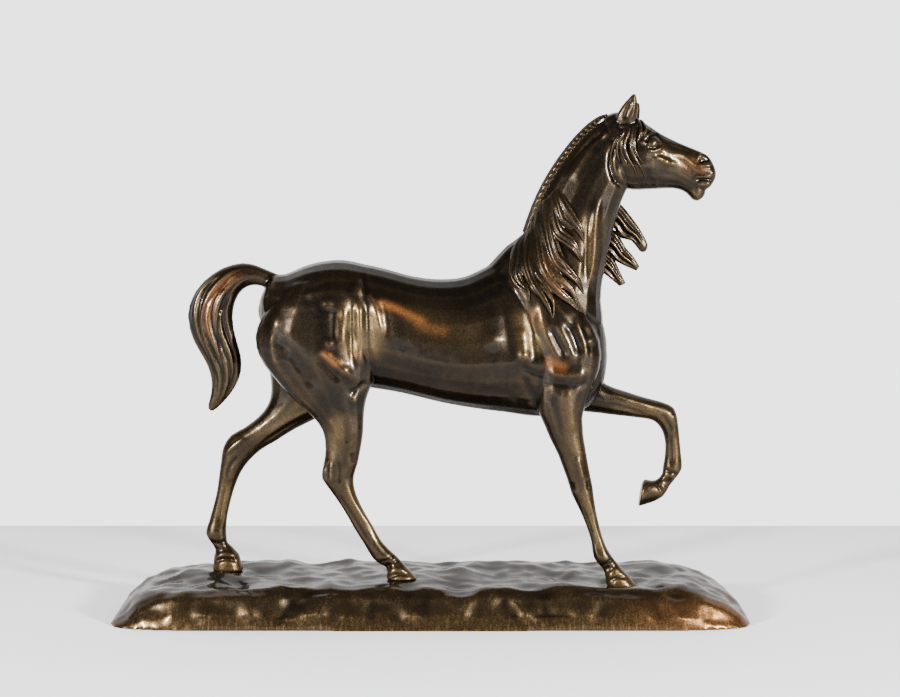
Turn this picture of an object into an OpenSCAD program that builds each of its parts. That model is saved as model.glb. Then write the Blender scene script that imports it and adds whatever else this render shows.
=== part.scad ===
// Bronze horse statue: a pacing stallion with one foreleg raised, cast in sections that are
// doweled together and bolted through the hooves to a hollow terrace of modelled ground.
// +X is the way the horse walks, +Y is its far side, +Z is up. Millimetres.

/* [Figure] */
// Height of the figure above the ground line
figure_h = 268; // [220:1:325]
// Wall of the hollow castings (torso and neck)
casting_wall = 4; // [3:0.5:5]
// Solid bulkhead left on each side of the neck joint
bulkhead = 9; // [8:1:14]

/* [Terrace] */
// Length of the terrace at the table
terrace_l = 352; // [290:1:425]
// Width of the terrace at the table
terrace_w = 104; // [86:1:126]
// Height of the ground line above the table
terrace_h = 22; // [18:1:28]
// Wall of the hollow terrace
terrace_wall = 4; // [3:0.5:5]
// Height of the lumps in the modelled ground
ground_relief = 1.1; // [0:0.1:2]

/* [Fasteners] */
// Diameter of the threaded studs in the hooves
stud_d = 3; // [2.5:0.5:4]
// Depth of a stud in its hoof
stud_depth = 7; // [6:0.5:8]
// Diameter of the dowels in the joints
dowel_d = 5; // [4:0.5:6]
// Length of the dowels
dowel_l = 15; // [12:0.5:18]
// Radial clearance round studs and dowels
fit_gap = 0.05; // [0.02:0.01:0.2]
// Diameter of the washers
washer_d = 9; // [8:0.5:11]
// Thickness of the washers
washer_t = 0.8; // [0.5:0.1:1.5]
// Width of the nuts across their flats
nut_af = 5.5; // [5:0.5:8]
// Thickness of the nuts
nut_t = 2.4; // [2:0.1:4]

/* [Hidden] */

bronze = "#5a3f22";
dark_bronze = "#3b2a1a";
steel = "#8f8f8c";

datum = 22;                       // height of the ground line in the stations below
nominal_h = 268;                  // height of the figure that the stations describe
k = figure_h / nominal_h;         // scale of the figure
far = 400;                        // larger than anything that a cutting block must cover
core_d = 14;                      // window that joins the hollows of torso and neck
seat_r = 11 * k;                  // spot face under each hoof
boss_r = 7;                       // stud bosses under the terrace
boss_z = 7.5;                     // height of the bosses' washer faces above the table
stud_end = 2;                     // height of the studs' lower ends above the table

// A station is one slice through a form: [x1, z1, x2, z2, y, half width, lean]. The first point is on
// the left hand when travelling along the form with the far side away, and a positive lean makes the
// slice wider towards it.
torso_line = [
    [-93.7, 172, -93.8, 164, 0, 1.5, 0], [-92.5, 177.4, -93, 159.6, 0, 6.4, 0], [-90.5, 186, -91, 150, 0, 14, 0], [-86, 190, -87, 142, 0, 20, 0],
    [-80, 190.5, -80, 136, 0, 24, 0.05], [-70, 194.8, -70, 132, 0, 27, 0.1],
    [-59, 197.6, -60, 130, 0, 28, 0.1], [-48, 198.2, -48, 128.5, 0, 27.5, 0.08],
    [-37, 196, -37, 127.5, 0, 26.5, 0.02], [-26, 193.6, -26, 126, 0, 26, -0.04],
    [-15, 190.5, -15, 124, 0, 26.5, -0.08], [-4, 188.2, -4, 121.3, 0, 27.5, -0.1],
    [8, 187.6, 8, 118.5, 0, 28, -0.12], [19, 189, 19, 116.5, 0, 28, -0.15],
    [30, 194, 30, 114.8, 0, 27, -0.2], [41, 200, 42, 113.3, 0, 25.5, -0.25],
    [52, 201, 54, 111.5, 0, 24.5, -0.25], [64, 197, 66, 111, 0, 24, -0.2],
    [76, 190, 78, 112.5, 0, 22, -0.1], [86, 180, 88, 117, 0, 18.5, 0],
    [93, 170, 94.5, 126, 0, 12.5, 0], [96.2, 160, 97, 135, 0, 6.5, 0], [97.6, 152.6, 97.9, 143.4, 0, 1.6, 0]];

neck_line = [
    [18, 176, 84, 136, 0, 22, -0.05], [31, 194, 91.5, 152, 0, 21.5, -0.1], [42, 206, 95.5, 163, 0, 19.5, -0.15],
    [52, 213.6, 94.3, 175, 0, 17.5, -0.18], [58, 226.3, 95.2, 187, 0, 15.8, -0.18],
    [63.5, 237.6, 97.6, 199.5, 0, 14.6, -0.15], [69, 247.4, 100, 211, 0, 13.6, -0.12],
    [75.3, 256.2, 102.6, 221.5, 0, 12.8, -0.1], [81.2, 263.6, 105.4, 230.5, 0, 12, -0.1],
    [88, 270.4, 108, 236.5, 0, 11.2, -0.08], [94.6, 274.8, 110, 240, 0, 10.6, -0.05],
    [101, 279, 113, 243, 0, 10, 0]];

head_line = [
    [91, 273, 104, 242, 0, 9, 0], [97, 278, 108, 237.8, 0, 10.5, 0], [104, 279.8, 112.5, 236.8, 0, 11.8, 0],
    [111, 278, 118, 237, 0, 12.4, 0.04], [117, 274.6, 124, 237.3, 0, 12.2, 0.1],
    [123, 270.3, 129, 237.6, 0, 10.8, 0.1], [130, 266.2, 134, 237.6, 0, 8.8, 0.05],
    [137, 262.9, 138.5, 236.6, 0, 7.4, 0], [144, 260, 143, 234, 0, 6.6, 0], [150, 257.4, 147.5, 232, 0, 6.6, 0.05],
    [154, 254.4, 151, 233.8, 0, 6.2, 0.15], [156.6, 249.5, 154.6, 239, 0, 4.8, 0.1],
    [157.4, 246, 156.8, 242.5, 0, 2, 0]];

near_ear_line = [
    [101, 275, 113, 272, -5.6, 3.6, 0], [102.6, 279.5, 113.4, 277, -6.2, 3.4, 0],
    [105.6, 284, 113.6, 282, -7, 2.6, 0], [108.6, 287.4, 113.2, 286, -7.6, 1.8, 0],
    [110.9, 289.7, 112.4, 289.4, -8, 0.7, 0]];

far_ear_line = [
    [103, 272, 114, 268, 6, 3.4, 0], [105.2, 276, 115, 273, 6.6, 3.2, 0],
    [108.6, 280, 115.8, 277.6, 7.4, 2.4, 0], [111.8, 283, 116, 281.6, 8, 1.6, 0],
    [114, 285, 115.4, 284.6, 8.4, 0.6, 0]];

near_fore_line = [
    [66, 188, 42, 183, -10, 10.6, 0], [84, 172, 48, 163, -13, 12.2, 0], [93, 155, 54, 146, -15, 11.6, 0],
    [93, 140, 57, 131, -16.5, 10.8, 0], [88, 127, 58, 121.5, -17.5, 10, 0], [84, 115, 59.6, 114.5, -18, 9, 0],
    [83.7, 109, 62.4, 108.5, -18.2, 8.3, 0], [84.2, 102, 65.6, 101, -18.5, 7.5, 0],
    [85.7, 93, 70, 92, -18.8, 6.8, 0], [87.5, 83, 73.8, 82, -19, 6.3, 0], [89, 76, 75.9, 76, -19.2, 6.1, 0],
    [89.7, 70.5, 77.6, 70.5, -19.4, 5.9, 0], [90.6, 64, 81.2, 63.2, -19.6, 4.8, 0],
    [92.2, 56, 84.9, 54.8, -19.8, 3.8, 0], [94.6, 47, 88, 46, -20, 3.7, 0], [97, 40.8, 89, 40.2, -20, 4.2, 0],
    [99.6, 36.4, 90.2, 34.4, -20, 4.8, 0], [103.6, 31.2, 94.2, 29.6, -20, 4.2, 0],
    [107, 27.4, 96, 26, -20, 5.6, 0], [109, 25.6, 96.2, 24.4, -20, 6.4, 0], [114, 19.2, 97, 19.2, -20, 7.2, 0]];

raised_fore_line = [
    [66, 188, 42, 183, 10.3, 10.5, 0], [84, 172, 48, 163, 13, 11.9, 0], [94, 157, 55, 145, 15, 11.5, 0],
    [95.5, 144, 63, 127, 16.5, 10.6, 0], [95, 133, 78, 114, 17, 9.4, 0], [98, 127.6, 96, 110.8, 17, 8.6, 0],
    [110, 123.2, 109, 109.2, 17.2, 7.6, 0], [120.2, 119.9, 119, 108, 17.5, 6.8, 0],
    [130, 117.2, 125, 106.6, 17.8, 6.2, 0], [136.6, 114, 128.4, 103.6, 18, 6, 0],
    [138.9, 107, 130.6, 99.4, 18, 5.3, 0], [139.9, 97, 131.8, 93.6, 18, 4.3, 0],
    [141, 86.6, 131.5, 86.4, 18, 3.9, 0], [141.4, 79.4, 130.6, 80.6, 18, 4.6, 0],
    [138.2, 74.4, 130, 76.2, 18, 4.5, 0], [134.4, 69.4, 126.8, 73, 18, 4.1, 0],
    [130.8, 63.6, 123.8, 72.8, 18, 5.6, 0], [124.4, 60.2, 120.6, 73.4, 18, 6.5, 0],
    [116.8, 58, 119.2, 72, 18, 7, 0]];

near_hind_line = [
    [-44, 189, -78, 186, -11, 12, 0], [-36, 174, -88, 174, -14, 14, 0], [-32, 157, -94.5, 162, -15.5, 14.5, 0],
    [-30.2, 143, -95.6, 151, -16.5, 13.8, 0], [-31, 133.6, -91, 141, -17, 12.8, 0],
    [-33.2, 128, -83, 131, -17.5, 11.6, 0], [-35.3, 122, -74.8, 122, -18, 10.4, 0],
    [-36.5, 113.8, -65.4, 113.8, -18.5, 8.8, 0], [-36.8, 105, -59.4, 105.5, -19, 7.6, 0],
    [-38.3, 95, -57.8, 95, -19.3, 6.6, 0], [-40.1, 86.6, -59.2, 85.6, -19.5, 6.2, 0],
    [-42.1, 80, -59.8, 79, -19.6, 5.9, 0], [-41.6, 73, -54.6, 71.6, -19.8, 5.1, 0],
    [-38.4, 64.6, -48.4, 62.6, -20, 4.2, 0], [-32.6, 54, -42.4, 52, -20, 4, 0],
    [-26.6, 43.6, -36.8, 43, -20, 4.2, 0], [-19.6, 36.8, -31.6, 34.4, -20, 5, 0],
    [-15.6, 32.6, -26.2, 30.6, -20, 4.4, 0], [-12.4, 29, -24, 27.8, -20, 5.6, 0],
    [-11, 27.8, -24.2, 26.6, -20, 6.2, 0], [-7, 23.3, -24.6, 23.3, -20, 7, 0]];

far_hind_line = [
    [-44, 189, -78, 186, 11.4, 11.8, 0], [-38, 174, -88, 174, 14, 13.8, 0], [-36, 157, -93, 162, 15.5, 14, 0],
    [-37, 142, -93, 149, 16.5, 13.4, 0], [-41, 129.5, -90.8, 135.5, 17, 12.4, 0],
    [-48, 118, -89.8, 124.6, 17.4, 11, 0], [-62, 109, -91.6, 116, 17.6, 9.4, 0],
    [-76, 102.2, -97, 109, 17.8, 8, 0], [-87, 95.2, -105, 102.8, 18, 6.9, 0],
    [-96, 89.8, -112.6, 98.4, 18, 6.4, 0], [-102.6, 83.6, -117, 91.8, 18, 6.1, 0],
    [-107, 77.4, -118.4, 83.4, 18, 5.4, 0], [-110, 70.6, -119.6, 74.6, 18, 4.5, 0],
    [-111.8, 65, -120.8, 66.6, 18, 4, 0], [-113.8, 57.6, -122.8, 58.4, 18, 3.9, 0],
    [-115.2, 50, -125.2, 50, 18, 4, 0], [-115.6, 43.6, -127.2, 43, 18, 4.9, 0],
    [-114.6, 39.4, -124.6, 38, 18, 4.6, 0], [-112.2, 35, -121.8, 33.8, 18, 4.2, 0],
    [-109.2, 31.6, -122.4, 30.6, 18, 5.6, 0], [-108, 29.6, -122.8, 29, 18, 6.2, 0],
    [-106, 21.5, -123.4, 21.5, 18, 7, 0]];

tail_line = [
    [-87, 180.5, -85, 190.5, 0, 4, 0], [-92, 183.4, -91, 193, 0, 4.6, 0], [-97.6, 184.4, -97.6, 195.6, 0, 5, 0],
    [-103, 182.4, -104, 196.5, 0, 5.6, 0], [-106.8, 178.2, -110.8, 195.4, 0, 6.2, 0],
    [-109, 172.2, -117.4, 192.6, 0, 6.8, 0], [-109.7, 167, -124.6, 187.4, 0, 7.2, 0],
    [-109.4, 162.6, -130.4, 180.6, 0, 7.5, 0], [-108.8, 158.6, -133.6, 173, 0, 7.6, 0],
    [-107.6, 153.8, -134.4, 166, 0, 7.6, 0], [-106.2, 149, -133.2, 158.4, 0, 7.4, 0],
    [-105, 143.6, -130.4, 151.4, 0, 7, 0], [-105, 138, -126.8, 145, 0, 6.5, 0],
    [-106.2, 132.4, -123.6, 138.4, 0, 5.8, 0], [-109, 126.8, -121.8, 131, 0, 5, 0],
    [-113.4, 121, -122.2, 123.6, 0, 3.8, 0], [-118.6, 115.8, -123.8, 117.2, 0, 2.4, 0],
    [-121.6, 114, -123, 114.6, 0, 0.9, 0]];

crest_line = [
    [50.5, 214, 62, 208, 0, 4, 0], [55.6, 228.4, 66, 223, 0, 4.4, 0], [61, 240, 71, 234, 0, 4.2, 0],
    [67, 250.2, 76, 243, 0, 4, 0], [73.4, 259.2, 82, 251, 0, 3.8, 0], [79.6, 266.8, 87, 258, 0, 3.6, 0],
    [86.8, 273.8, 92, 265, 0, 3.4, 0], [93.6, 278.2, 97, 269, 0, 3, 0], [97.4, 280, 99, 272, 0, 2.4, 0]];

// Locks of the near mane, which fall down the near side of the neck and shoulder.
near_locks = [
    [[58, 214, 52, 216, -8, 5, 0], [57, 196, 47, 200, -16.5, 4.6, 0], [59, 180, 48, 184, -22, 4, 0],
     [62, 168, 53, 170, -25, 3, 0], [61, 160, 58, 161, -25.6, 1.4, 0]],
    [[66, 224, 56, 228, -8, 5, 0], [67, 204, 54, 208, -15.5, 4.6, 0], [71, 184, 58, 188, -20.5, 4, 0],
     [76, 170, 66, 172, -23.6, 3.4, 0], [79, 159, 75, 160, -24.6, 1.4, 0]],
    [[71, 232, 60, 238, -8, 4.8, 0], [76, 211, 62, 216, -14, 4.4, 0], [82, 194, 68, 198, -17.6, 4, 0],
     [88, 181, 78, 182, -19.6, 3.2, 0], [90, 171, 86, 171, -19.6, 1.4, 0]],
    [[77, 242, 66, 248, -7, 4.6, 0], [82, 222, 70, 228, -12.6, 4, 0], [86, 208, 76, 212, -15, 3.4, 0],
     [89, 198, 84, 198, -15.8, 1.6, 0]]];

// Locks of the far mane: two lie on the neck and three are blown clear in front of the throat.
far_locks = [
    [[66, 224, 56, 228, 8, 5, 0], [67, 204, 54, 208, 15.5, 4.6, 0], [71, 184, 58, 188, 20.5, 4, 0],
     [76, 170, 66, 172, 23.4, 3.4, 0], [79, 159, 75, 160, 24.4, 1.4, 0]],
    [[71, 232, 60, 238, 8, 4.8, 0], [80, 214, 64, 222, 13.4, 4.4, 0], [90, 202, 74, 208, 15.6, 3.8, 0],
     [95, 194, 84, 196, 15, 3, 0]],
    [[82, 241, 84, 226, 11, 3.6, 0], [95, 236, 96, 221, 13.6, 4, 0], [105.5, 229, 103, 214, 14, 3.8, 0],
     [112.4, 220.6, 106, 209.6, 14, 3.4, 0], [117.4, 213.4, 111.6, 208.2, 14, 3, 0],
     [121.2, 206, 116.4, 202.4, 14, 2.4, 0], [120, 202.2, 118, 201.6, 14, 1, 0]],
    [[82, 228, 82, 212, 12, 3.6, 0], [94, 220, 93, 206, 14, 4, 0], [103.4, 213, 100, 200, 14, 3.8, 0],
     [108.6, 204.4, 103.6, 196.6, 14, 3.2, 0], [113.4, 199, 109.2, 193.6, 14, 2.8, 0],
     [116.6, 193.8, 114.6, 191.2, 14, 1.4, 0]],
    [[82, 213, 84, 198, 13, 3.4, 0], [93, 206, 93, 192, 14, 3.8, 0], [101.4, 199, 97.6, 189, 14, 3.4, 0],
     [105.8, 190.6, 101.2, 186.2, 14, 2.8, 0], [109, 184.4, 105.2, 182.6, 14, 1.6, 0]]];

// Locks of the forelock: one on the forehead and one down each cheek.
fore_locks = [
    [[105, 283, 104, 275, -0.5, 4, 0], [112, 280.4, 110, 273, -1, 4, 0], [118.6, 275.6, 115, 269, -1.4, 3.2, 0],
     [122.6, 272, 119.6, 268, -1.6, 1.4, 0]],
    [[110, 279, 102, 277, -6, 4, 0], [113.6, 268, 105.6, 267, -10.6, 3, 0], [113.4, 257, 107, 255, -12, 2.6, 0],
     [118, 246.6, 112.6, 243.6, -12.2, 2.2, 0], [119, 241, 117, 240, -11.4, 1, 0]],
    [[110, 279, 102, 277, 6, 4, 0], [113.6, 268, 105.6, 267, 10.6, 3, 0], [113.4, 258, 108, 256, 12, 2.4, 0],
     [116, 249, 113.6, 248, 12.2, 1, 0]]];

// Planes on which the figure is cut into castings: [point x, point z, tilt about Y in degrees]. What is
// kept lies on the side that +Z turns to.
neck_plane = [67, 181.5, 36.5];
head_plane = [101.5, 257.5, 71.6];
near_fore_plane = [72, 115, 180];
raised_fore_plane = [96.5, 119, 97];
near_hind_plane = [-55, 122, 180];
far_hind_plane = [-70, 120, -171];

// Dowels of the leg joints: [x, y, z, tilt about Y], each at the middle of its joint.
leg_dowel_places = [[72, -18, 115, 0], [96.5, 17, 119, 97], [-55, -18, 122, 0], [-70, 17.4, 120, 9]];
neck_dowel_places = [[53, 0, 191.9, 36.5], [82, 0, 170.4, 36.5]];
head_dowel_places = [[101.5, 0, 257.5, 71.6]];
tail_dowel_places = [[-89, 0, 187, 97]];

// Feet on the ground: [x, y, height of the sole].
feet = [[103.5, -20, 19.2], [-16.6, -20, 23.3], [-114.6, 18, 21.5]];

// A point of the figure in the part's own frame.
function place(p) = [p.x * k, p.y * k, terrace_h + (p.z - datum) * k];
soles = [for (p = feet) place(p)];

function curve_point(p0, p1, p2, p3, t) =
    (2 * p1 + (p2 - p0) * t + (2 * p0 - 5 * p1 + 4 * p2 - p3) * t * t + (3 * p1 - p0 - 3 * p2 + p3) * t * t * t) / 2;

// The stations with smooth ones between them, so that a form has `steps` slices for each station.
function smooth_line(line, steps) = let (n = len(line) - 1) concat(
    [for (i = [0 : n - 1], j = [0 : steps - 1])
        curve_point(line[max(i - 1, 0)], line[i], line[i + 1], line[min(i + 2, n)], j / steps)],
    [line[n]]);

function rounded(v, power) = sign(v) * pow(abs(v), power);

// The points round one slice, drawn in by `inset`.
function ring(s, sides, inset) = let (
    half = [s[0] - s[2], s[1] - s[3]] / 2, size = norm(half), keep = max(size - inset, 0.2) / size,
    wide = max(s[5] - inset, 0.2))
    [for (i = [0 : sides - 1]) let (
        t = rounded(cos(360 * i / sides), 0.9), w = rounded(sin(360 * i / sides), 0.9))
        [(s[0] + s[2]) / 2 + half.x * keep * t, s[4] + wide * w * (1 + s[6] * t), (s[1] + s[3]) / 2 + half.y * keep * t]];

// A closed form through the stations of a line.
module form(line, sides = 16, steps = 2, inset = 0) {
    slices = smooth_line(line, steps);
    last = (len(slices) - 1) * sides;
    polyhedron(
        points = [for (s = slices, p = ring(s, sides, inset)) p],
        faces = concat(
            [[for (i = [sides - 1 : -1 : 0]) i]],
            [for (j = [0 : len(slices) - 2], i = [0 : sides - 1]) let (a = j * sides + i, b = j * sides + (i + 1) % sides)
                each [[a, b, a + sides], [b, b + sides, a + sides]]],
            [[for (i = [0 : sides - 1]) last + i]]));
}

// Carries a form from the stations' frame to its place on the terrace.
module on_ground() translate([0, 0, terrace_h]) scale(k) translate([0, 0, -datum]) children();

// Melts the forms of one casting into one skin. Its size stays as it is.
module one_skin() resize([0, 0, 0]) union() children();

// A block whose lower face is a cutting plane.
module block(plane, shift = 0) translate([plane[0], 0, plane[1]]) rotate([0, plane[2], 0])
    translate([-far / 2, -far / 2, shift]) cube(far);

// A round bar along Z, centred, and the same bar at each place of a list.
module bar(d, l) cylinder(d = d, h = l, center = true, $fn = 32);
module at_places(places) for (p = places)
    let (q = place(p)) translate(q) rotate([0, p[3], 0]) children();

module core_window() at_places([[neck_plane[0], 0, neck_plane[1], neck_plane[2]]]) bar(core_d, 2 * bulkhead + 8);
module dowels(places) color(dark_bronze) at_places(places) bar(dowel_d, dowel_l);
module dowel_bores(places) at_places(places) bar(dowel_d + 2 * fit_gap, dowel_l + 2 * fit_gap);
module stud_bores() for (s = soles) translate([s.x, s.y, s.z - far / 2 + stud_depth])
    bar(stud_d + 2 * fit_gap, far);

// The body of the horse without neck, head and tail, before it is cut into castings.
module trunk() {
    form(torso_line, 24);
    form(neck_line, 20);
    difference() {
        form(near_fore_line);
        block(near_fore_plane);
    }
    difference() {
        form(raised_fore_line);
        block(raised_fore_plane);
    }
    difference() {
        form(near_hind_line);
        block(near_hind_plane);
    }
    difference() {
        form(far_hind_line);
        block(far_hind_plane);
    }
}

module torso() color(bronze) difference() {
    one_skin() difference() {
        on_ground() difference() {
            trunk();
            block(neck_plane);
            difference() {
                form(torso_line, 16, 1, casting_wall / k);
                block(neck_plane, -bulkhead / k);
                translate([-far - 78, -far / 2, 0]) cube(far);
            }
        }
        core_window();
    }
    dowel_bores(concat(leg_dowel_places, neck_dowel_places, tail_dowel_places));
}

module neck() color(bronze) difference() {
    one_skin() difference() {
        on_ground() difference() {
            union() {
                form(neck_line, 20);
                form(torso_line, 24);
            }
            difference() {
                cube(2 * far, center = true);
                block(neck_plane);
            }
            block(head_plane);
            difference() {
                intersection() {
                    form(neck_line, 12, 1, casting_wall / k);
                    block(neck_plane, bulkhead / k);
                }
                block(head_plane, -bulkhead / k);
            }
        }
        core_window();
    }
    dowel_bores(concat(neck_dowel_places, head_dowel_places));
}

module head_form() {
    form(head_line, 20);
    form(near_ear_line, 10);
    form(far_ear_line, 10);
}

module head() color(bronze) difference() {
    one_skin() on_ground() intersection() {
        union() {
            head_form();
            form(neck_line, 20);
        }
        block(head_plane);
    }
    dowel_bores(head_dowel_places);
}

// Hair takes what the castings under it leave.
module hair(locks) color(dark_bronze) one_skin() on_ground() difference() {
    for (lock = locks) form(lock, 8, 2);
    trunk();
    head_form();
}

module forelock() hair(fore_locks);
module crest_mane() hair([crest_line]);
module near_mane() color(dark_bronze) one_skin() difference() {
    hair(near_locks);
    crest_mane();
}
module far_mane() color(dark_bronze) one_skin() difference() {
    hair(far_locks);
    crest_mane();
}

module tail() color(bronze) difference() {
    one_skin() on_ground() difference() {
        form(tail_line, 12);
        trunk();
    }
    dowel_bores(tail_dowel_places);
}

// One leg below its joint, with the bore for its dowel.
module leg(line, plane, dowel) color(bronze) difference() {
    one_skin() on_ground() difference() {
        intersection() {
            form(line);
            block(plane);
        }
        form(torso_line, 24);
    }
    dowel_bores([dowel]);
    stud_bores();
}

module near_foreleg() leg(near_fore_line, near_fore_plane, leg_dowel_places[0]);
module raised_foreleg() leg(raised_fore_line, raised_fore_plane, leg_dowel_places[1]);
module near_hindleg() leg(near_hind_line, near_hind_plane, leg_dowel_places[2]);
module far_hindleg() leg(far_hind_line, far_hind_plane, leg_dowel_places[3]);

// Height of the modelled ground. It rises steeply at the long sides and gently at the ends, rolls in
// low lumps, and is level just above each sole.
side_run = 14;
end_run = 40;
function rise(d, run, power) = 1 - pow(1 - min(max(d, 0) / run, 1), power);
function lumps(x, y) = ground_relief * (sin(5.1 * x + 40 * sin(4 * y)) * cos(6.5 * y) + 0.8 * sin(2.3 * x - 5 * y + 60)
    + 0.5 * sin(9.7 * x + 7 * y));
function near_sole(x, y, s) = exp(-pow(norm([x - s.x, y - s.y]) / (seat_r + 5), 4));
function level_ground(x, y, z, i = 0) = i == len(soles) ? z :
    let (w = near_sole(x, y, soles[i])) level_ground(x, y, z * (1 - w) + (soles[i].z + 0.5) * w, i + 1);
function ground(x, y, lift) = level_ground(x, y, lift + 0.03 * y - 0.011 * abs(x) + 1 + lumps(x, y));

// A mound on a rounded rectangle, as a closed solid. The grid is finer towards its edges.
module mound(l, w, sink, floor_z, corner, nx = 34, ny = 14) {
    xs = [for (i = [0 : nx]) let (u = 2 * i / nx - 1) u * (1.35 - 0.35 * u * u)];
    ys = [for (j = [0 : ny]) let (v = 2 * j / ny - 1) v * (1.45 - 0.45 * v * v)];
    plan = [for (u = xs) [for (v = ys)
        [l / 2 * u * (1 - 0.045 * pow(v, 8)), w / 2 * v * (1 - corner * pow(u, 10))]]];
    top = [for (i = [0 : nx], j = [0 : ny]) let (
        p = plan[i][j], e = rise(l / 2 * (1 - abs(xs[i])), end_run, 2.2), s = rise(w / 2 * (1 - abs(ys[j])), side_run, 2.6))
        [p.x, p.y, floor_z + max((ground(p.x, p.y, terrace_h) - sink - floor_z) * e * s, 0) + (e * s > 0 ? 0 : 0.6)]];
    bottom = [for (i = [0 : nx], j = [0 : ny]) [plan[i][j].x, plan[i][j].y, floor_z]];
    count = (nx + 1) * (ny + 1);
    row = ny + 1;
    rim = concat([for (i = [0 : nx]) i * row], [for (j = [1 : ny]) nx * row + j],
                 [for (i = [nx - 1 : -1 : 0]) i * row + ny], [for (j = [ny - 1 : -1 : 1]) j]);
    polyhedron(
        points = concat(top, bottom),
        faces = concat(
            [for (i = [0 : nx - 1], j = [0 : ny - 1]) let (a = i * row + j) each [[a, a + 1, a + row], [a + 1, a + row + 1, a + row]]],
            [for (i = [0 : len(rim) - 1]) let (a = rim[i], b = rim[(i + 1) % len(rim)])
                each [[a, b, a + count], [b, b + count, a + count]]],
            [[for (r = rim) r + count]]));
}

module terrace() color(dark_bronze) difference() {
    mound(terrace_l, terrace_w, 0, 0, 0.15);
    difference() {
        mound(terrace_l - 2 * terrace_wall, terrace_w - 2 * terrace_wall, terrace_wall, -0.6, 0.26, 22, 10);
        for (s = soles) translate([s.x, s.y, boss_z]) cylinder(r = boss_r, h = far);
    }
    for (s = soles) translate(s) cylinder(r = seat_r, h = far, $fn = 48);
    stud_bores();
}

module hoof_studs() color(steel) for (s = soles)
    translate([s.x, s.y, stud_end]) cylinder(d = stud_d, h = s.z + stud_depth - 0.5 - stud_end, $fn = 32);

module hoof_washers() color(steel) for (s = soles) translate([s.x, s.y, boss_z - washer_t]) difference() {
    cylinder(d = washer_d, h = washer_t, $fn = 32);
    cylinder(d = stud_d + 2 * fit_gap, h = 3 * washer_t, center = true, $fn = 32);
}

module hoof_nuts() color(steel) for (s = soles) translate([s.x, s.y, boss_z - washer_t - nut_t]) difference() {
    cylinder(d = nut_af / cos(30), h = nut_t, $fn = 6);
    cylinder(d = stud_d + 2 * fit_gap, h = 3 * nut_t, center = true, $fn = 32);
}

terrace();
torso();
neck();
head();
forelock();
crest_mane();
near_mane();
far_mane();
tail();
near_foreleg();
raised_foreleg();
near_hindleg();
far_hindleg();
hoof_studs();
hoof_washers();
hoof_nuts();
dowels(leg_dowel_places);  // leg_dowels
dowels(neck_dowel_places);  // neck_dowels
dowels(head_dowel_places);  // head_dowel
dowels(tail_dowel_places);  // tail_dowel
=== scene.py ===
"""Bronze horse statue: a pacing stallion with a raised foreleg, on a terrace of modelled ground."""
import math

import bmesh
import bpy
import numpy as np
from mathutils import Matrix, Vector, noise
from mathutils.bvhtree import BVHTree


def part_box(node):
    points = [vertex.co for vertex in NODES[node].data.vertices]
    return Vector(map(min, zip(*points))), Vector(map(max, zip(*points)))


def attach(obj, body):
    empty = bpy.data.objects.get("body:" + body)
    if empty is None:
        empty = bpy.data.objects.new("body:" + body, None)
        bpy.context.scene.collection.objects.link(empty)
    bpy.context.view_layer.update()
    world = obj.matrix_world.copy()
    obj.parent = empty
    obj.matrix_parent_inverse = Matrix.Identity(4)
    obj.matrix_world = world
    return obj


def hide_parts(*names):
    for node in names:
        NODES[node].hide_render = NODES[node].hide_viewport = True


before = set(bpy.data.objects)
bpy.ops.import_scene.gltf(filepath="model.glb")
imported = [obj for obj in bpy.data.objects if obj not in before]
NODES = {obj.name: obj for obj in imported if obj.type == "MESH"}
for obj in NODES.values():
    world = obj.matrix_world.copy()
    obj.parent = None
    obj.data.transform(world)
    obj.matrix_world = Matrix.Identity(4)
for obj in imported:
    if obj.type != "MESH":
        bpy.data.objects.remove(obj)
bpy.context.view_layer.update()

bl_info = {
    "name": "Bronze Horse Statue",
    "version": (1, 0, 0),
    "blender": (4, 5, 0),
    "location": "3D View > Sidebar > Bronze Horse",
    "description": "Models and finishes a cast bronze statue of a pacing horse on its terrace",
    "category": "Add Mesh",
}

MM = 0.001
NEAR, FAR = -1, 1

# ---------------------------------------------------------------- forms, in millimetres


def smooth_path(points, count):
    """Points along a smooth curve through the given ones, at even steps of its parameter."""
    p = np.array(points, float)
    p = np.vstack([2 * p[0] - p[1], p, 2 * p[-1] - p[-2]])
    out = []
    for u in np.linspace(0, len(p) - 3 - 1e-6, count):
        i = int(u)
        t = u - i
        a, b, c, d = p[i:i + 4]
        square, cube = 2 * a - 5 * b + 4 * c - d, 3 * b - a - 3 * c + d
        out.append((2 * b + (c - a) * t + square * t * t + cube * t ** 3) / 2)
    return np.array(out)


def along(places, points, reach, steps=5):
    """For each place, its distance from a smooth path and how far along the path it lies, 0 to 1."""
    path = smooth_path(points, steps * (len(points) - 1) + 1)
    near = np.all((places > path.min(0) - reach) & (places < path.max(0) + reach), axis=1)
    who = np.flatnonzero(near)
    best = np.full(len(who), 1e9)
    share = np.zeros(len(who))
    lengths = np.linalg.norm(np.diff(path, axis=0), axis=1)
    run = np.concatenate([[0], np.cumsum(lengths)])
    q = places[who]
    for i, (a, b) in enumerate(zip(path, path[1:])):
        ab = b - a
        t = np.clip((q - a) @ ab / max(ab @ ab, 1e-9), 0, 1)
        d = np.linalg.norm(q - a - t[:, None] * ab, axis=1)
        closer = d < best
        best[closer] = d[closer]
        share[closer] = (run[i] + t[closer] * lengths[i]) / run[-1]
    return who, best, share


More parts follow.
